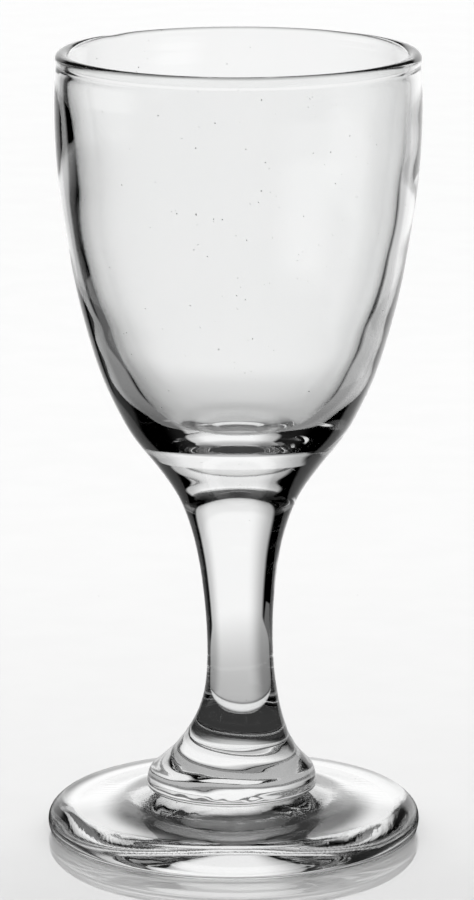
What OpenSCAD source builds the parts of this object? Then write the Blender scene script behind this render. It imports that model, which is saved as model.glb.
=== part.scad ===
// Small stemmed sherry glass in thick clear glass.
// Three gathers of glass are fused face to face: the foot, the stem and the bowl.
// The axis is Z and the middle of the foot's underside is the origin.

/* [Bowl] */
// Height of the bowl, from its seam on the stem to the top of the rim
bowl_h = 70; // [62:0.5:80]
// Widest diameter of the bowl, a little below the rim
bowl_d = 54.9; // [50:0.1:60]
// Wall thickness of the bowl just below the rim
wall_t = 1.95; // [1.6:0.05:2.6]
// Thickness of the solid glass between the seam and the hollow
floor_t = 12.2; // [10:0.1:14]
// Thickness of the rounded, fire-polished rim
rim_t = 2.2; // [1.8:0.1:2.8]

/* [Stem] */
// Diameter of the seam where the bowl sits on the stem
neck_d = 16.1; // [14:0.1:18]
// Height of the stem from its waist up to the bowl's seam
neck_h = 21.5; // [17:0.5:26]
// Diameter of the stem at its waist
waist_d = 10; // [8:0.1:12]
// Height of the stem from the foot's seam up to its waist
flare_h = 21.7; // [18:0.1:27]
// Diameter of the rounded pad at the bottom of the stem
pad_d = 25.9; // [22:0.1:29]
// Diameter of the seam where the pad sits on the foot
seat_d = 24.6; // [21:0.1:27]

/* [Foot] */
// Diameter of the foot
foot_d = 56.7; // [50:0.1:64]
// Height of the widest line round the foot
foot_widest_h = 2; // [1.5:0.1:2.6]
// Height of the foot's rounded shoulder
foot_shoulder_h = 5.1; // [4.4:0.1:5.8]
// How far in from the widest line the shoulder ends
foot_shoulder_w = 4.2; // [3:0.1:6]
// How far in from the widest line the foot meets the table
foot_tuck_w = 0.9; // [0.5:0.1:1.6]
// Width of the flat ring that the foot rests on
foot_ring_w = 3.6; // [2:0.1:5]
// Height of the foot's middle, where the stem sits
foot_crown_h = 6.8; // [6.2:0.1:8]
// Height of the shallow hollow under the middle of the foot
foot_hollow_h = 1.4; // [0.6:0.1:2.4]

/* [Fineness] */
// Longest step along a curved outline
curve_step = 1.4; // [0.8:0.1:3]
// Number of sides of a full turn, for the preview
turn_sides = 96; // [48:8:180]

/* [Hidden] */

foot_seam_z = foot_crown_h;
bowl_seam_z = foot_seam_z + flare_h + neck_h;
bowl_r = bowl_d / 2;
neck_r = neck_d / 2;
waist_r = waist_d / 2;
pad_r = pad_d / 2;
seat_r = seat_d / 2;
foot_r = foot_d / 2;

// Outside of the bowl, from the seam up: shares of the way from the seam's radius
// to the widest radius, and of the bowl's height
bowl_outside_shares = [
    [0, 0], [0.058, 0.036], [0.138, 0.071], [0.252, 0.114], [0.413, 0.171], [0.529, 0.229],
    [0.644, 0.3], [0.744, 0.386], [0.836, 0.486], [0.909, 0.6], [0.968, 0.714], [0.997, 0.829],
    [1, 0.9]
];

// Inside of the bowl, from its lowest point up: shares of the hollow's radius below the rim,
// and of its depth
bowl_inside_shares = [
    [0, 0], [0.2, 0.002], [0.363, 0.009], [0.425, 0.026], [0.515, 0.061], [0.61, 0.118], [0.72, 0.215],
    [0.786, 0.294], [0.845, 0.374], [0.896, 0.479], [0.922, 0.557], [0.942, 0.637], [0.971, 0.74],
    [0.99, 0.82], [1, 0.896]
];

// Flare of the stem below its waist, from the pad up: shares of the way from the waist's
// radius to the pad's, and of the height up to the waist
flare_shares = [
    [1, 0.024], [0.99, 0.083], [0.925, 0.143], [0.712, 0.217], [0.538, 0.286], [0.375, 0.378],
    [0.251, 0.47], [0.12, 0.608], [0.032, 0.792], [0, 1]
];

// Flare of the stem above its waist: shares of the way from the waist's radius to the
// bowl seam's, and of the height above the waist
neck_shares = [[0.025, 0.209], [0.153, 0.442], [0.324, 0.628], [0.586, 0.814], [1, 1]];

// Top of the foot, from its shoulder in to the seam: shares of the way in, and of the rise
foot_top_shares = [[0.35, 0.3], [0.69, 0.45], [1, 1]];

// How far the rim stands in from the widest radius, as a share of its thickness
rim_inset_share = 0.05;

// Turning points of the rounded rim, and of the foot's edge below and above its widest line,
// in degrees
rim_angles = [-20, 15, 50, 90, 130, 165, 200];
tuck_angles = [-90, -60, -30];
shoulder_angles = [0, 18, 36, 54, 72, 88];

// Distance between two points
function gap(a, b) = norm(b - a);

// Direction of a smooth line at one of its points, from the points on both sides
function heading(line, i) =
    let (last = len(line) - 1)
    i == 0 ? (line[1] - line[0]) / gap(line[0], line[1]) :
    i == last ? (line[last] - line[last - 1]) / gap(line[last - 1], line[last]) :
    let (before = gap(line[i - 1], line[i]), after = gap(line[i], line[i + 1]))
    ((line[i] - line[i - 1]) * after / before + (line[i + 1] - line[i]) * before / after)
        / (before + after);

// Point at share t of the smooth stretch that follows point i
function between(line, i, t) =
    let (
        reach = gap(line[i], line[i + 1]),
        leave = heading(line, i) * reach,
        arrive = heading(line, i + 1) * reach
    )
    line[i] * (2 * t^3 - 3 * t^2 + 1) + line[i + 1] * (3 * t^2 - 2 * t^3)
        + leave * (t^3 - 2 * t^2 + t) + arrive * (t^3 - t^2);

// A smooth line through all the points given, in steps of at most curve_step
function smooth(line) = [
    for (i = [0 : len(line) - 2])
        let (steps = ceil(gap(line[i], line[i + 1]) / curve_step))
        for (s = [0 : steps - 1])
            between(line, i, s / steps),
    line[len(line) - 1]
];

// Points of an oval arc about a centre, of the width and height given, at the angles given
function arc(centre, width, height, angles) = [
    for (a = angles) centre + [width * cos(a), height * sin(a)]
];

// Turns an outline, given as radius and height, round the axis
module turned(outline) {
    rotate_extrude($fn = turn_sides)
        polygon(outline);
}

// The cup: a wall that thickens downwards into a solid floor, and a rounded rim
module bowl() {
    hollow_r = bowl_r - wall_t;
    hollow_h = bowl_h - floor_t;
    rim_r = rim_t / 2;
    rim_centre = [bowl_r - rim_r - rim_t * rim_inset_share, bowl_h - rim_r];
    outside = [for (s = bowl_outside_shares) [neck_r + (bowl_r - neck_r) * s[0], bowl_h * s[1]]];
    rim = arc(rim_centre, rim_r, rim_r, rim_angles);
    inside = [
        for (i = [len(bowl_inside_shares) - 1 : -1 : 0])
            [hollow_r * bowl_inside_shares[i][0], floor_t + hollow_h * bowl_inside_shares[i][1]]
    ];
    color("lightcyan", 0.45)
        translate([0, 0, bowl_seam_z])
            turned(concat([[0, 0]], smooth(concat(outside, rim, inside))));
}

// The solid stem: a rounded pad on the foot, a waist, and a flare up to the bowl
module stem() {
    flare = [for (s = flare_shares) [waist_r + (pad_r - waist_r) * s[0], flare_h * s[1]]];
    neck = [for (s = neck_shares) [waist_r + (neck_r - waist_r) * s[0], flare_h + neck_h * s[1]]];
    color("powderblue", 0.6)
        translate([0, 0, foot_seam_z])
            turned(concat([[0, 0]], smooth(concat([[seat_r, 0]], flare, neck)), [[0, flare_h + neck_h]]));
}

// The foot: a flat resting ring round a shallow hollow, a rounded shoulder and a raised middle
module foot() {
    tuck_x = foot_r - foot_tuck_w;
    shoulder_x = foot_r - foot_shoulder_w;
    hollow_r = tuck_x - foot_ring_w;
    hollow_steps = ceil(hollow_r / curve_step);
    hollow = [
        for (i = [0 : hollow_steps])
            let (x = i / hollow_steps)
            [hollow_r * x, foot_hollow_h * (1 - x^2)]
    ];
    tuck = arc([tuck_x, foot_widest_h], foot_tuck_w, foot_widest_h, tuck_angles);
    shoulder_rise = foot_shoulder_h - foot_widest_h;
    shoulder = arc([shoulder_x, foot_widest_h], foot_shoulder_w, shoulder_rise, shoulder_angles);
    top = [
        for (s = foot_top_shares)
            [
                shoulder_x + (seat_r - shoulder_x) * s[0],
                foot_shoulder_h + (foot_crown_h - foot_shoulder_h) * s[1]
            ]
    ];
    color("lightblue", 0.6)
        turned(concat(hollow, smooth(concat(tuck, shoulder, top)), [[0, foot_crown_h]]));
}

bowl();
stem();
foot();
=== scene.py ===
"""Looks of a small sherry glass in thick clear glass.

Three turned pieces of glass stand for the CAD model's bowl, stem and foot. Each is built on the
outline of its own CAD node, at a finer pitch, with the small faults of a hand-finished glass.
Lengths are metres, angles are degrees, in the frame of the CAD model.
"""
import math

import bpy
import numpy as np
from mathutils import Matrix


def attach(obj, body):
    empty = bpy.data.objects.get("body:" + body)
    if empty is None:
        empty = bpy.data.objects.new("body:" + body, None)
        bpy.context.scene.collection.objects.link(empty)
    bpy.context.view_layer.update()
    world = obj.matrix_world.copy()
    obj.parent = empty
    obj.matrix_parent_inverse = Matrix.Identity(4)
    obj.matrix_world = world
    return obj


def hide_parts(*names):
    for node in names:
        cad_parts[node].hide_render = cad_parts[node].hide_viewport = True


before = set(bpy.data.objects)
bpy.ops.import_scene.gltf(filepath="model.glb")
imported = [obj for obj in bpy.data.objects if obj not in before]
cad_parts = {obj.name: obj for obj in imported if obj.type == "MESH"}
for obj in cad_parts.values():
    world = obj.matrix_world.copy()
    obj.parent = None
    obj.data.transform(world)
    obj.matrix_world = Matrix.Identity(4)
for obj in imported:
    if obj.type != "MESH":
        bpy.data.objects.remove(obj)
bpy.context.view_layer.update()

MM = 0.001

# The photograph: its frame, and the column that the bowl's axis falls on
FRAME_W = 474
FRAME_H = 900
BOWL_AXIS_COLUMN = 238.3

# The camera, as fitted to the outline of the glass
CAMERA_BACK = 813 * MM
CAMERA_UP = 237.6 * MM
CAMERA_TILT = 12.37
FOCAL_PIXELS = 5512
SENSOR_W = 36

# Fineness of the turned pieces: sides, and steps between rings, finer near the rim
TURN_SIDES = 192
RING_STEP = 0.4 * MM
RIM_RING_STEP = 0.08 * MM
RIM_FROM = (115 * MM, 117 * MM)
# The outline's curvature is evened out over the fair reach, and over the tight one in tight turns
FAIR_STEP = 0.25 * MM
FAIR_REACH = 1 * MM
TIGHT_REACH = 0.15 * MM
TIGHT_RADIUS = 4 * MM
BEND_REACH = 2 * MM
END_HOLD = 1e6
# A ring narrower than this is a single point on the axis
AXIS_RADIUS = 0.0001 * MM
# How near to the XZ plane a CAD point counts as on it, and the digits that two points share
ON_PLANE = 1e-6
MATCH_DIGITS = 7

# How far the axis strays sideways (+X) at some heights, both in millimetres
AXIS_DRIFT = (
    (0, -0.7), (6, -0.75), (8, -1.2), (10, -0.85), (12.5, -0.5), (15, -0.25), (16.5, 0), (19.5, 0.3),
    (22.5, 0.4), (29, 0.27), (35, 0.14), (45, 0), (120, 0),
)
# The same for the hollow of the bowl alone, on its +X side. The -X side has a share of it, and the
# one turns into the other over these cosines of the way round
HOLLOW_DRIFT = (
    (62, 0), (70, -0.1), (75, -0.2), (84, -0.3), (90, -0.25), (94, -0.1), (99, 0.1), (105, 0.25),
    (110, 0.1), (117, 0), (120, 0),
)
HOLLOW_LEFT_SHARE = 0.25
HOLLOW_TURN = (-0.5, 0.5)
# Both tables have their corners rounded over this height, in millimetres, on a finer table
DRIFT_EASE = 3
DRIFT_HEIGHTS = (-20, 140)
DRIFT_STEP = 0.1
# The foot's top leans up towards +X, by this share of the distance from the axis
FOOT_LEAN = 0.006
FOOT_TOP_Z = 5.1 * MM
LEAN_FADE = (7 * MM, 14 * MM)
# Slanted ripples round the bottom of the stem
RIPPLE_DEPTH = 0.035 * MM
RIPPLE_PITCH = 2.4 * MM
RIPPLE_SLANT = 0.15
RIPPLE_RISE = (7.5 * MM, 9.5 * MM)
RIPPLE_FALL = (14 * MM, 17 * MM)
# The shear mark: a shallow oval dent with rings in it, on the front of the pad
SHEAR_X = -1.2 * MM
SHEAR_Z = 8.6 * MM
SHEAR_HALF_W = 6 * MM
SHEAR_HALF_H = 1.8 * MM
SHEAR_DEPTH = 0.1 * MM
SHEAR_RING_DEPTH = 0.02 * MM
SHEAR_RINGS = 2
SHEAR_FRONT = 6 * MM
# The groove under the rounded rim: steep above its deepest line, easy below. Inside, a faint one lies
# behind it. Towards the back both fade to a share, between the two Y given
GROOVE_Z = 118.05 * MM
GROOVE_ABOVE = 0.33 * MM
GROOVE_BELOW = 0.7 * MM
GROOVE_DEPTH = 0.16 * MM
GROOVE_INSIDE = 0.04 * MM
GROOVE_BACK_SHARE = 0.25
GROOVE_BACK_Y = (-8 * MM, 4 * MM)
# Dips in the rim: azimuth from +Y towards +X, half width in degrees, depth
RIM_DIPS = ((-46, 4.5, 0.16 * MM), (38, 6, 0.05 * MM))
# The resting ring is this far off the floor, so that the two faces don't coincide
FLOOR_GAP = 0.02 * MM

# Glass
GLASS_IOR = 1.52
TINT_THIN = (1.0, 1.0, 1.0)
TINT_THICK = (0.985, 0.992, 0.99)
TINT_CELL = 9 * MM
# Dust and hairline scratches: the cells that hold one each, and the size of what they hold
DUST_CELL = 3.4 * MM
DUST_RADIUS = 0.12 * MM
SCRATCH_CELL = (7 * MM, 1.6 * MM, 2.1 * MM)
SCRATCH_TURNS = ((0.5, 0.2, 0.4), (1.1, -0.5, 2.3))
SCRATCH_WIDTH = 0.035
SCRATCH_SHADE = 0.45
SPECK_CORE = 0.6
DUST_COLOUR = (0.2, 0.2, 0.2)
DUST_OPACITY = 0.8
DUST_ROUGHNESS = 0.45
# Fine wear on the foot: strokes that run outwards, and rings from its turning. The turns say how
# finely each varies on its way round
STROKE_TURNS = 26
STROKE_LENGTH = 5 * MM
STROKE_DEPTH = 0.012 * MM
TURNED_WIDTH = 0.55 * MM
TURNED_TURNS = 2.2
TURNED_DEPTH = 0.006 * MM
WEAR_RADIUS = (11 * MM, 13 * MM, 20 * MM, 24 * MM)
WEAR_Z = (3 * MM, 4 * MM)
# Soft waves in the skin of the glass
WAVE_CELL = 5 * MM
WAVE_DEPTH = 0.012 * MM

# The bright screen behind the glass, by azimuth from straight behind it towards +X. It dims to a
# level of its own at each side, and its top edge drops towards both sides
SCREEN_LEFT = -31.5
SCREEN_RIGHT = 44.5
SCREEN_LEFT_SOFT = 3
SCREEN_RIGHT_SOFT = 3
LEFT_FALL = (-31, -8)
LEFT_LEVEL = 0.47
RIGHT_FALL = (23, 40)
RIGHT_LEVEL = 0.65
SCREEN_TOP = (16, 22)
TOP_DROP_LEFT = 4
TOP_DROP_LEFT_AZIMUTH = (-45, -8)
TOP_DROP_RIGHT = 10
TOP_DROP_RIGHT_AZIMUTH = (8, 45)
# Above the screen: the ceiling's level through the glass, and as mirrored on its outside
ABOVE_LEVEL = 0.9
ABOVE_MIRRORED = 0.05
ABOVE_TOP = (50, 65)
# Near the glass the painted light on the floor reaches wider, and painted shade makes it dimmer
NEAR_LEFT = -53
NEAR_RIGHT = 56
WIDER_RADIUS = (90 * MM, 185 * MM)
NEAR_SHADE_LEVEL = 0.42
NEAR_RADIUS = (50 * MM, 225 * MM)
# A painted reflection on the floor: a Fresnel term in its glow, as if it mirrored the screen at a low
# angle
PAINTED_GLOSS_IOR = 2.2
# Painted light on the floor in front, past this azimuth either way, standing in for the light of the
# room
FRONT_LIGHT_LEVEL = 0.2
FRONT_AZIMUTH = 102
FRONT_RADIUS = (60 * MM, 150 * MM)
# A painted shadow close round the foot, and painted shade on the floor under it
CLOSE_SHADOW_LEVEL = 0.02
CLOSE_RADIUS = (24 * MM, 30 * MM)
UNDER_SHADE_RADIUS = (17.3 * MM, 21.3 * MM)
UNDER_SHADE_LEVEL = 0.04
UNDER_EDGE = (25 * MM, 27 * MM)
# Painted light on the floor: paler parts of the room behind the glass as seen from its other sides, and
# a dim strip. The side one is also a pale band low in the world
BACK_PALE_AZIMUTH = (118, 152)
BACK_PALE_RADIUS = (170 * MM, 210 * MM, 450 * MM, 510 * MM)
BACK_PALE_LEVEL = 0.6
SIDE_PALE_AZIMUTH = (-110, -70)
SIDE_PALE_RADIUS = (500 * MM, 650 * MM)
SIDE_PALE_HEIGHT = (2, 6)
SIDE_PALE_LEVEL = 0.8
STRIP_AZIMUTH = -45
STRIP_HALF_WIDTH = 27 * MM
STRIP_SOFT = 8 * MM
STRIP_REACH = (100 * MM, 262 * MM)
STRIP_LEVEL = 0.15
PALE_SOFT = 12
# The light that falls on the floor: a broad soft lamp behind the glass, and a dim room
LAMP_AZIMUTHS = (-65, 65)
LAMP_TOP = (55, 75)
LAMP_LEVEL = 2.4
LAMP_ROOM_LEVEL = 0.35
LAMP_SOFT = 15

# Floor
FLOOR_SIZE = 8.0
# Painted shade: the floor's colour darkens from the back towards the front
FLOOR_FRONT_LEVEL = 0.82
FLOOR_BACK_LEVEL = 1.0
FLOOR_SHADE_Y = (-60 * MM, 230 * MM)
FLOOR_MOTTLE = 0.02
FLOOR_MOTTLE_NOISE = (0.3, 0.7)
FLOOR_MOTTLE_CELL = 14 * MM
FLOOR_DUST_CELL = 16 * MM
FLOOR_DUST_RADIUS = 0.25 * MM
FLOOR_DUST_LEVEL = 0.75
FLOOR_ROUGHNESS = 0.05
FLOOR_COAT_ROUGHNESS = 0.02
FLOOR_COAT_IOR = 1.5

# Bounces of light, enough for the glass
MAX_BOUNCES = 32
GLASS_BOUNCES = 24
TRANSPARENT_BOUNCES = 48


def outline_of(node):
    """Outline of a turned CAD node: (radius, height) points in order along its surface."""
    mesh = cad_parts[node].data
    on_plane = {}
    for v in mesh.vertices:
        if abs(v.co.y) < ON_PLANE and v.co.x > -ON_PLANE:
            on_plane[v.index] = (round(v.co.x, MATCH_DIGITS), round(v.co.z, MATCH_DIGITS))
    links = {}
    for edge in mesh.edges:
        a, b = edge.vertices
        if a in on_plane and b in on_plane and on_plane[a] != on_plane[b]:
            links.setdefault(on_plane[a], set()).add(on_plane[b])
            links.setdefault(on_plane[b], set()).add(on_plane[a])
    ends = sorted((p for p in links if len(links[p]) == 1), key=lambda p: p[1])
    line = [ends[0]]
    while True:
        onward = [p for p in links[line[-1]] if p not in line[-2:]]
        if not onward:
            return np.array(line)
        line.append(onward[0])


def headings(line):
    """Direction of a smooth line at each of its points."""
    step = np.diff(line, axis=0)
    gap = np.linalg.norm(step, axis=1)[:, None]
    inner = (step[:-1] * gap[1:] / gap[:-1] + step[1:] * gap[:-1] / gap[1:]) / (gap[:-1] + gap[1:])
    return np.vstack([step[0] / gap[0], inner, step[-1] / gap[-1]])


def smooth(line, step):
    """Points of a smooth line through all the points given, about a step apart."""
    heading = headings(line)
    out = []
    for i in range(len(line) - 1):
        reach = np.linalg.norm(line[i + 1] - line[i])
        for t in np.linspace(0, 1, max(1, math.ceil(reach / step)), endpoint=False):
            out.append(
                line[i] * (2 * t**3 - 3 * t**2 + 1)
                + line[i + 1] * (3 * t**2 - 2 * t**3)
                + heading[i] * reach * (t**3 - 2 * t**2 + t)
                + heading[i + 1] * reach * (t**3 - t**2)
            )
    return np.array(out + [line[-1]])


def evened(line, step):
    """The same line in equal steps, or in steps as given for each of its pieces."""
    count = np.linalg.norm(np.diff(line, axis=0), axis=1) / step
    along = np.concatenate([[0], np.cumsum(count)])
    at = np.linspace(0, along[-1], round(along[-1]) + 1)
    return np.column_stack([np.interp(at, along, line[:, i]) for i in (0, 1)])


def faired(line):
    """The line with its curvature evened out, apart from tight turns such as the rim."""
    fine = evened(smooth(line, FAIR_STEP), FAIR_STEP)
    count = len(fine)
    second = np.zeros((count, count))
    inner = np.arange(1, count - 1)
    second[inner, inner - 1] = second[inner, inner + 1] = 1
    second[inner, inner] = -2
    bend = np.linalg.norm(second @ fine, axis=1) / FAIR_STEP**2
    near = round(BEND_REACH / FAIR_STEP)
    bend = np.array([bend[max(0, i - near) : i + near + 1].mean() for i in range(count)])
    share = np.clip(2 - bend * TIGHT_RADIUS * 2, 0, 1)
    reach = (TIGHT_REACH + (FAIR_REACH - TIGHT_REACH) * share) / FAIR_STEP
    stiff = second.T @ (reach[:, None] ** 4 * second)
    hold = np.eye(count)
    hold[0, 0] = hold[-1, -1] = END_HOLD
    return np.linalg.solve(stiff + hold, hold @ fine)


def glass_outline():
    """The whole glass as one line, from the middle of the underside to the middle of the hollow.

    Gives the points, and the first and last point of each piece.
    """
    foot = evened(faired(outline_of("foot")), RING_STEP)
    foot[:, 1] = np.maximum(foot[:, 1], FLOOR_GAP)
    stem = outline_of("stem")
    upper = smooth(faired(np.vstack([stem, outline_of("bowl")[1:]])), RIM_RING_STEP / 2)
    near_rim = step_up(upper[:-1, 1], *RIM_FROM)
    upper = evened(upper, RING_STEP + (RIM_RING_STEP - RING_STEP) * near_rim)
    neck = int(np.argmin(np.abs(upper[: len(upper) // 2, 1] - stem[-1, 1])))
    seat = len(foot) - 1
    line = np.vstack([foot, upper[1:]])
    last = len(line) - 1
    return line, {"foot": (0, seat), "stem": (seat, seat + neck), "bowl": (seat + neck, last)}


def eased(table, height):
    """A value at each height, from a table in millimetres with its corners rounded off."""
    fine = np.arange(*DRIFT_HEIGHTS, DRIFT_STEP)
    window = np.hanning(round(2 * DRIFT_EASE / DRIFT_STEP))
    values = np.convolve(np.interp(fine, *zip(*table)), window / window.sum(), mode="same")
    return np.interp(height / MM, fine, values) * MM


def step_up(value, low, high):
    """A smooth change from 0 to 1 as value goes from low to high."""
    t = np.clip((value - low) / (high - low), 0, 1)
    return t * t * (3 - 2 * t)


def swept(line, seat):
    """Points and surface directions of the glass: one row per ring, one column per side.

    The outline is turned round the axis, and then the faults of handwork are put in.
    """
    angle = np.arange(TURN_SIDES) * 2 * math.pi / TURN_SIDES
    radius = line[:, 0][:, None]
    z = line[:, 1][:, None] + 0 * angle[None, :]
    x = radius * np.cos(angle)[None, :]
    y = radius * np.sin(angle)[None, :]

    ripple = np.sin(2 * math.pi * (z + RIPPLE_SLANT * x) / RIPPLE_PITCH)
    fade = step_up(z, *RIPPLE_RISE) * (1 - step_up(z, *RIPPLE_FALL))
    out = RIPPLE_DEPTH * ripple * fade
    oval = np.hypot((x - SHEAR_X) / SHEAR_HALF_W, (z - SHEAR_Z) / SHEAR_HALF_H)
    rings = np.cos(2 * math.pi * SHEAR_RINGS * oval) * np.exp(-oval)
    mark = -SHEAR_DEPTH * np.exp(-(oval**2)) + SHEAR_RING_DEPTH * rings
    on_front = step_up(-y, 0, SHEAR_FRONT) * (np.arange(len(line)) > seat)[:, None]
    hollow = (np.arange(len(line)) > np.argmax(line[:, 1]))[:, None]
    groove_h = np.where(z > GROOVE_Z, GROOVE_ABOVE, GROOVE_BELOW)
    groove_depth = np.where(hollow, GROOVE_INSIDE, -GROOVE_DEPTH)
    groove = groove_depth * np.exp(-(((z - GROOVE_Z) / groove_h) ** 2))
    groove = groove * (1 - (1 - GROOVE_BACK_SHARE) * step_up(y, *GROOVE_BACK_Y))
    out = out + mark * on_front + groove
    x = x + out * np.cos(angle)[None, :]
    y = y + out * np.sin(angle)[None, :]

    lean = np.clip(z / FOOT_TOP_Z, 0, 1) * (1 - step_up(z, *LEAN_FADE))
    z = z + FOOT_LEAN * x * lean
    azimuth = np.degrees(np.arctan2(np.cos(angle), np.sin(angle)))[None, :]
    for middle, half_width, depth in RIM_DIPS:
        z = z - depth * np.exp(-(((azimuth - middle) / half_width) ** 2)) * step_up(z, *RIM_FROM)
    rightward = step_up(np.cos(angle), *HOLLOW_TURN)[None, :]
    share = HOLLOW_LEFT_SHARE + (1 - HOLLOW_LEFT_SHARE) * rightward
    x = x + eased(AXIS_DRIFT, z) + eased(HOLLOW_DRIFT, z) * share * hollow

    place = np.stack([x, y, z], axis=2)
    around = np.roll(place, -1, axis=1) - np.roll(place, 1, axis=1)
    along = np.vstack([np.gradient(place[: seat + 1], axis=0), np.gradient(place[seat:], axis=0)[1:]])
    facing = np.cross(around, along)
    facing[0] = (0, 0, -1)
    facing[-1] = (0, 0, 1)
    return place, facing / np.linalg.norm(facing, axis=2)[:, :, None]


def piece_of(name, line, place, facing, first, last):
    """A closed mesh of the rings from first to last.

    A seam closes each end that doesn't reach the axis.
    """
    points = []
    normals = []
    starts = []
    for i in range(first, last + 1):
        starts.append(len(points))
        count = 1 if line[i, 0] < AXIS_RADIUS else TURN_SIDES
        points.extend(place[i, :count].tolist())
        normals.extend(facing[i, :count].tolist())
    faces = []
    for i in range(last - first):
        low, high = starts[i], starts[i + 1]
        for s in range(TURN_SIDES):
            t = (s + 1) % TURN_SIDES
            if line[first + i, 0] < AXIS_RADIUS:
                faces.append((low, high + t, high + s))
            elif line[first + i + 1, 0] < AXIS_RADIUS:
                faces.append((low + s, low + t, high))
            else:
                faces.append((low + s, low + t, high + t, high + s))
    skin = len(faces)
    if line[first, 0] > AXIS_RADIUS:
        faces.append(tuple(starts[0] + s for s in reversed(range(TURN_SIDES))))
    if line[last, 0] > AXIS_RADIUS:
        faces.append(tuple(starts[-1] + s for s in range(TURN_SIDES)))
    mesh = bpy.data.meshes.new(name)
    mesh.from_pydata(points, [], faces)
    mesh.polygons.foreach_set("material_index", [0] * skin + [1] * (len(faces) - skin))
    mesh.polygons.foreach_set("use_smooth", [True] * len(faces))
    mesh.update()
    mesh.normals_split_custom_set_from_vertices(normals)
    piece = bpy.data.objects.new(name, mesh)
    bpy.context.scene.collection.objects.link(piece)
    return piece


class Nodes:
    """Short calls that add and link the nodes of a material or world."""

    def __init__(self, owner):
        owner.use_nodes = True
        self.tree = owner.node_tree
        self.tree.nodes.clear()

    def add(self, kind, **settings):
        node = self.tree.nodes.new(kind)
        for key, value in settings.items():
            setattr(node, key, value)
        return node

    def put(self, socket, value):
        if isinstance(value, bpy.types.NodeSocket):
            self.tree.links.new(value, socket)
        else:
            socket.default_value = value

    def math(self, operation, *values):
        node = self.add("ShaderNodeMath", operation=operation)
        for socket, value in zip(node.inputs, values):
            self.put(socket, value)
        return node.outputs[0]

    def ramp(self, value, low, high, to_low=0.0, to_high=1.0):
        """A smooth change from to_low to to_high as value goes from low to high."""
        node = self.add("ShaderNodeMapRange", interpolation_type="SMOOTHSTEP")
        for socket, given in zip(node.inputs, (value, low, high, to_low, to_high)):
            self.put(socket, given)
        return node.outputs[0]

    def most(self, *values):
        out = values[0]
        for value in values[1:]:
            out = self.math("MAXIMUM", out, value)
        return out

    def product(self, *values):
        out = values[0]
        for value in values[1:]:
            out = self.math("MULTIPLY", out, value)
        return out

    def mix(self, share, a, b):
        """a where share is 0, b where it is 1."""
        node = self.add("ShaderNodeMix", data_type="FLOAT")
        for i, given in ((0, share), (2, a), (3, b)):
            self.put(node.inputs[i], given)
        return node.outputs[0]

    def scaled(self, vector, by):
        """A vector with its parts divided by the sizes given."""
        node = self.add("ShaderNodeVectorMath", operation="DIVIDE")
        self.put(node.inputs[0], vector)
        self.put(node.inputs[1], by)
        return node.outputs[0]

    def turned(self, vector, angles):
        node = self.add("ShaderNodeVectorRotate", rotation_type="EULER_XYZ")
        self.put(node.inputs["Vector"], vector)
        self.put(node.inputs["Rotation"], angles)
        return node.outputs[0]

    def noise(self, vector, detail=2.0):
        node = self.add("ShaderNodeTexNoise")
        self.put(node.inputs["Vector"], vector)
        self.put(node.inputs["Scale"], 1.0)
        self.put(node.inputs["Detail"], detail)
        return node.outputs[0]

    def specks(self, vector, size):
        """1 near the one point that each cell holds, 0 from the given distance on."""
        node = self.add("ShaderNodeTexVoronoi", feature="F1")
        self.put(node.inputs["Vector"], vector)
        self.put(node.inputs["Scale"], 1.0)
        return self.ramp(node.outputs["Distance"], size * SPECK_CORE, size, 1.0, 0.0)

    def bearing(self, vector):
        """Azimuth of a vector from +Y towards +X in degrees, its level length and its rise."""
        split = self.add("ShaderNodeSeparateXYZ")
        self.put(split.inputs[0], vector)
        x, y, z = split.outputs
        azimuth = self.math("MULTIPLY", self.math("ARCTAN2", x, y), 180 / math.pi)
        squares = self.math("ADD", self.math("MULTIPLY", x, x), self.math("MULTIPLY", y, y))
        flat = self.math("SQRT", squares)
        return azimuth, flat, z


def foot_wear(nodes, place):
    """Depth of the wear on the foot's top: strokes that run outwards, and rings from its turning."""
    azimuth, radius, z = nodes.bearing(place)
    turn = nodes.math("MULTIPLY", azimuth, math.pi / 180)
    sine = nodes.math("SINE", turn)
    cosine = nodes.math("COSINE", turn)
    depth = 0.0
    kinds = ((STROKE_TURNS, STROKE_LENGTH, STROKE_DEPTH), (TURNED_TURNS, TURNED_WIDTH, TURNED_DEPTH))
    for turns, length, full in kinds:
        join = nodes.add("ShaderNodeCombineXYZ")
        nodes.put(join.inputs[0], nodes.math("MULTIPLY", sine, turns))
        nodes.put(join.inputs[1], nodes.math("MULTIPLY", cosine, turns))
        nodes.put(join.inputs[2], nodes.math("DIVIDE", radius, length))
        depth = nodes.math("ADD", depth, nodes.math("MULTIPLY", nodes.noise(join.outputs[0]), full))
    return nodes.product(
        depth,
        nodes.ramp(radius, *WEAR_RADIUS[:2]),
        nodes.ramp(radius, *WEAR_RADIUS[2:], 1.0, 0.0),
        nodes.ramp(z, *WEAR_Z),
    )


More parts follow.
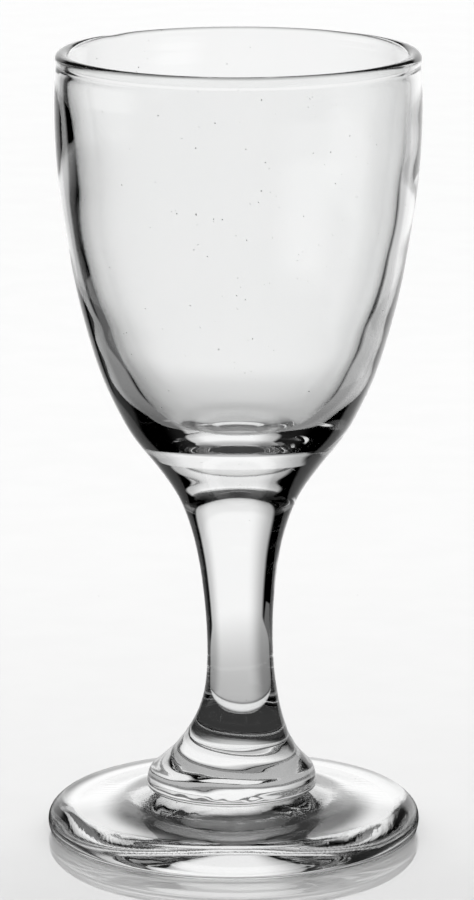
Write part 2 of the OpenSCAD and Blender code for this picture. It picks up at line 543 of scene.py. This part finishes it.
def glass_material(name):
    """Clear glass with a slight tint, dust, hairline scratches, soft waves and, on the foot, wear."""
    material = bpy.data.materials.new(name)
    nodes = Nodes(material)
    place = nodes.add("ShaderNodeTexCoord").outputs["Object"]
    dirt = nodes.specks(nodes.scaled(place, (DUST_CELL,) * 3), DUST_RADIUS / DUST_CELL)
    for angles in SCRATCH_TURNS:
        scratch = nodes.specks(nodes.scaled(nodes.turned(place, angles), SCRATCH_CELL), SCRATCH_WIDTH)
        dirt = nodes.most(dirt, nodes.math("MULTIPLY", scratch, SCRATCH_SHADE))

    tint = nodes.add("ShaderNodeMix", data_type="RGBA")
    nodes.put(tint.inputs[0], nodes.noise(nodes.scaled(place, (TINT_CELL,) * 3)))
    nodes.put(tint.inputs[6], (*TINT_THIN, 1))
    nodes.put(tint.inputs[7], (*TINT_THICK, 1))
    colour = nodes.add("ShaderNodeMix", data_type="RGBA")
    nodes.put(colour.inputs[0], dirt)
    nodes.put(colour.inputs[6], tint.outputs[2])
    nodes.put(colour.inputs[7], (*DUST_COLOUR, 1))

    height = nodes.math("MULTIPLY", nodes.noise(nodes.scaled(place, (WAVE_CELL,) * 3), 0.0), WAVE_DEPTH)
    if name.startswith("foot"):
        height = nodes.math("ADD", height, foot_wear(nodes, place))
    bump = nodes.add("ShaderNodeBump")
    nodes.put(bump.inputs["Distance"], 1.0)
    nodes.put(bump.inputs["Height"], height)

    shader = nodes.add("ShaderNodeBsdfPrincipled")
    nodes.put(shader.inputs["Base Color"], colour.outputs[2])
    nodes.put(shader.inputs["Roughness"], nodes.math("MULTIPLY", dirt, DUST_ROUGHNESS))
    nodes.put(shader.inputs["Transmission Weight"], nodes.ramp(dirt, 0.0, 1.0, 1.0, 1 - DUST_OPACITY))
    nodes.put(shader.inputs["Normal"], bump.outputs[0])
    shader.inputs["IOR"].default_value = GLASS_IOR
    out = nodes.add("ShaderNodeOutputMaterial")
    nodes.put(out.inputs["Surface"], shader.outputs[0])
    return material


def seam_material():
    """Where two pieces of glass are fused there is no surface to see."""
    material = bpy.data.materials.new("fused_seam")
    nodes = Nodes(material)
    shader = nodes.add("ShaderNodeBsdfPrincipled")
    shader.inputs["Alpha"].default_value = 0
    out = nodes.add("ShaderNodeOutputMaterial")
    nodes.put(out.inputs["Surface"], shader.outputs[0])
    return material


def within(nodes, value, start, end, soft):
    """1 between two limits and 0 outside them, with soft edges."""
    into = nodes.ramp(value, start - soft, start + soft)
    out = nodes.ramp(value, end - soft, end + soft, 1.0, 0.0)
    return nodes.math("MULTIPLY", into, out)


def screen_behind(nodes, azimuth, left, right):
    """How bright the screen is between its two edges: full in the middle, dimmer at the sides. The
    floor's painted light in the glass takes the same shape.
    """
    past_left = nodes.math("SUBTRACT", azimuth, left)
    past_right = nodes.math("SUBTRACT", azimuth, right)
    return nodes.product(
        nodes.ramp(past_left, -SCREEN_LEFT_SOFT, SCREEN_LEFT_SOFT),
        nodes.ramp(past_right, -SCREEN_RIGHT_SOFT, SCREEN_RIGHT_SOFT, 1.0, 0.0),
        nodes.ramp(azimuth, *LEFT_FALL, LEFT_LEVEL, 1.0),
        nodes.ramp(azimuth, *RIGHT_FALL, 1.0, RIGHT_LEVEL),
    )


def seen_in_glass(nodes):
    """1 for what shows through or in the glass, and 0 for what the camera sees straight."""
    path = nodes.add("ShaderNodeLightPath")
    return nodes.most(path.outputs["Is Transmission Ray"], path.outputs["Is Glossy Ray"])


def lights_the_floor(nodes):
    """1 for a ray that has left the floor in any direction, and so carries its light."""
    path = nodes.add("ShaderNodeLightPath")
    return nodes.math("GREATER_THAN", path.outputs["Diffuse Depth"], 0.5)


def make_world():
    world = bpy.data.worlds.new("studio")
    bpy.context.scene.world = world
    nodes = Nodes(world)
    coordinate = nodes.add("ShaderNodeTexCoord")
    azimuth, flat, rise = nodes.bearing(coordinate.outputs["Generated"])
    height = nodes.math("MULTIPLY", nodes.math("ARCTAN2", rise, flat), 180 / math.pi)
    drop_left = nodes.ramp(azimuth, *TOP_DROP_LEFT_AZIMUTH, TOP_DROP_LEFT, 0.0)
    drop_right = nodes.ramp(azimuth, *TOP_DROP_RIGHT_AZIMUTH, 0.0, TOP_DROP_RIGHT)
    up_screen = nodes.math("ADD", height, nodes.math("ADD", drop_left, drop_right))
    through = nodes.add("ShaderNodeLightPath").outputs["Is Transmission Ray"]
    above = nodes.mix(through, ABOVE_MIRRORED, ABOVE_LEVEL)
    screen = nodes.product(
        screen_behind(nodes, azimuth, SCREEN_LEFT, SCREEN_RIGHT),
        nodes.ramp(up_screen, *SCREEN_TOP, 1.0, above),
        nodes.ramp(up_screen, *ABOVE_TOP, 1.0, 0.0),
    )
    side = nodes.product(
        within(nodes, azimuth, *SIDE_PALE_AZIMUTH, PALE_SOFT),
        nodes.ramp(height, *SIDE_PALE_HEIGHT, 1.0, 0.0),
        SIDE_PALE_LEVEL,
    )
    studio = nodes.most(screen, side)
    lamp = nodes.math(
        "MULTIPLY",
        within(nodes, azimuth, *LAMP_AZIMUTHS, LAMP_SOFT),
        nodes.ramp(height, *LAMP_TOP, 1.0, 0.0),
    )
    lamp = nodes.mix(lamp, LAMP_ROOM_LEVEL, LAMP_LEVEL)
    level = nodes.mix(seen_in_glass(nodes), 1.0, studio)
    level = nodes.mix(lights_the_floor(nodes), level, lamp)
    background = nodes.add("ShaderNodeBackground")
    background.inputs["Color"].default_value = (1, 1, 1, 1)
    nodes.put(background.inputs["Strength"], level)
    out = nodes.add("ShaderNodeOutputWorld")
    nodes.put(out.inputs["Surface"], background.outputs[0])
    world.cycles.sampling_method = "NONE"


def floor_in_glass(nodes, azimuth, radius, x, y):
    """How bright the floor shows in the glass, as an emission of painted light and painted shade:
    bright where the screen would light it, dark in the rest.
    """
    wider = nodes.ramp(radius, *WIDER_RADIUS)
    left = nodes.mix(wider, NEAR_LEFT, SCREEN_LEFT)
    right = nodes.mix(wider, NEAR_RIGHT, SCREEN_RIGHT)
    # Painted reflection of the screen on the floor, from a Fresnel term
    painted_gloss = nodes.add("ShaderNodeFresnel")
    painted_gloss.inputs["IOR"].default_value = PAINTED_GLOSS_IOR
    # Painted shade: the floor's painted light is dimmer near the glass
    painted_near_shade = nodes.ramp(radius, *NEAR_RADIUS, NEAR_SHADE_LEVEL, 1.0)
    lit = nodes.product(
        screen_behind(nodes, azimuth, left, right),
        nodes.mix(painted_gloss.outputs[0], painted_near_shade, 1.0),
        # Painted shadow close round the foot
        nodes.ramp(radius, *CLOSE_RADIUS, CLOSE_SHADOW_LEVEL, 1.0),
    )
    # Painted light on the floor in front
    front = nodes.product(
        nodes.math("SUBTRACT", 1.0, within(nodes, azimuth, -FRONT_AZIMUTH, FRONT_AZIMUTH, PALE_SOFT)),
        nodes.ramp(radius, *FRONT_RADIUS, FRONT_LIGHT_LEVEL, 0.0),
    )
    # Painted light on the floor behind, beside, and in a strip
    back = nodes.product(
        within(nodes, azimuth, *BACK_PALE_AZIMUTH, PALE_SOFT),
        nodes.ramp(radius, *BACK_PALE_RADIUS[:2]),
        nodes.ramp(radius, *BACK_PALE_RADIUS[2:], BACK_PALE_LEVEL, 0.0),
    )
    side = nodes.product(
        within(nodes, azimuth, *SIDE_PALE_AZIMUTH, PALE_SOFT),
        nodes.ramp(radius, *SIDE_PALE_RADIUS, 0.0, SIDE_PALE_LEVEL),
    )
    turn = math.radians(STRIP_AZIMUTH)
    along = nodes.math(
        "ADD", nodes.math("MULTIPLY", x, math.sin(turn)), nodes.math("MULTIPLY", y, math.cos(turn))
    )
    across = nodes.math(
        "SUBTRACT", nodes.math("MULTIPLY", x, math.cos(turn)), nodes.math("MULTIPLY", y, math.sin(turn))
    )
    painted_strip = nodes.product(
        within(nodes, across, -STRIP_HALF_WIDTH, STRIP_HALF_WIDTH, STRIP_SOFT),
        within(nodes, along, *STRIP_REACH, STRIP_SOFT),
        STRIP_LEVEL,
    )
    outside = nodes.most(lit, front, back, side, painted_strip)
    # Painted shade on the floor under the foot
    painted_under_shade = nodes.ramp(radius, *UNDER_SHADE_RADIUS, UNDER_SHADE_LEVEL, 1.0)
    return nodes.mix(nodes.ramp(radius, *UNDER_EDGE), painted_under_shade, outside)


def floor_material():
    material = bpy.data.materials.new("pale_floor")
    nodes = Nodes(material)
    coordinate = nodes.add("ShaderNodeTexCoord")
    place = coordinate.outputs["Object"]
    azimuth, radius, _ = nodes.bearing(place)
    split = nodes.add("ShaderNodeSeparateXYZ")
    nodes.put(split.inputs[0], place)
    x, y, _ = split.outputs
    mottle = nodes.noise(nodes.scaled(place, (FLOOR_MOTTLE_CELL,) * 3))
    cells = nodes.scaled(place, (FLOOR_DUST_CELL,) * 3)
    specks = nodes.specks(cells, FLOOR_DUST_RADIUS / FLOOR_DUST_CELL)
    # The floor's own mottle and dust specks, and painted shade darker towards the front
    tone_and_shade = nodes.product(
        nodes.ramp(y, *FLOOR_SHADE_Y, FLOOR_FRONT_LEVEL, FLOOR_BACK_LEVEL),
        nodes.ramp(mottle, *FLOOR_MOTTLE_NOISE, 1 - FLOOR_MOTTLE, 1.0),
        nodes.mix(specks, 1.0, FLOOR_DUST_LEVEL),
    )
    colour = nodes.add("ShaderNodeCombineColor")
    for socket in colour.inputs:
        nodes.put(socket, tone_and_shade)
    shader = nodes.add("ShaderNodeBsdfPrincipled")
    nodes.put(shader.inputs["Base Color"], colour.outputs[0])
    shader.inputs["Roughness"].default_value = FLOOR_ROUGHNESS
    shader.inputs["Coat Weight"].default_value = 1
    shader.inputs["Coat Roughness"].default_value = FLOOR_COAT_ROUGHNESS
    shader.inputs["Coat IOR"].default_value = FLOOR_COAT_IOR
    # Seen in the glass, the floor glows: an emission of painted light and painted shade laid out by
    # place, in place of the lamps' light on it
    painted_floor_glow = nodes.add("ShaderNodeEmission")
    painted_floor_glow.inputs["Color"].default_value = (1, 1, 1, 1)
    nodes.put(painted_floor_glow.inputs["Strength"], floor_in_glass(nodes, azimuth, radius, x, y))
    choice = nodes.add("ShaderNodeMixShader")
    nodes.put(choice.inputs[0], seen_in_glass(nodes))
    nodes.put(choice.inputs[1], shader.outputs[0])
    nodes.put(choice.inputs[2], painted_floor_glow.outputs[0])
    out = nodes.add("ShaderNodeOutputMaterial")
    nodes.put(out.inputs["Surface"], choice.outputs[0])
    material.cycles.emission_sampling = "NONE"
    return material


def make_floor():
    half = FLOOR_SIZE / 2
    mesh = bpy.data.meshes.new("floor")
    corners = [(-half, -half, 0), (half, -half, 0), (half, half, 0), (-half, half, 0)]
    mesh.from_pydata(corners, [], [(0, 1, 2, 3)])
    floor = bpy.data.objects.new("floor", mesh)
    bpy.context.scene.collection.objects.link(floor)
    floor.data.materials.append(floor_material())


def make_camera():
    data = bpy.data.cameras.new("camera")
    data.sensor_width = SENSOR_W
    data.lens = FOCAL_PIXELS / FRAME_H * SENSOR_W
    camera = bpy.data.objects.new("camera", data)
    bpy.context.scene.collection.objects.link(camera)
    distance = math.hypot(CAMERA_BACK, CAMERA_UP)
    aside = (FRAME_W / 2 - BOWL_AXIS_COLUMN) / FOCAL_PIXELS * distance
    camera.location = (aside, -CAMERA_BACK, CAMERA_UP)
    camera.rotation_euler = (math.radians(90 - CAMERA_TILT), 0, 0)
    bpy.context.scene.camera = camera


make_camera()
make_world()
make_floor()
seam = seam_material()
line, spans = glass_outline()
place, facing = swept(line, spans["foot"][1])
for node, (first, last) in spans.items():
    piece = piece_of(node + "_glass_piece", line, place, facing, first, last)
    piece.data.materials.append(glass_material(node + "_glass"))
    piece.data.materials.append(seam)
    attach(piece, "root")
    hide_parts(node)

scene = bpy.context.scene
scene.view_settings.view_transform = "Standard"
scene.cycles.max_bounces = MAX_BOUNCES
scene.cycles.glossy_bounces = GLASS_BOUNCES
scene.cycles.transmission_bounces = GLASS_BOUNCES
scene.cycles.transparent_max_bounces = TRANSPARENT_BOUNCES
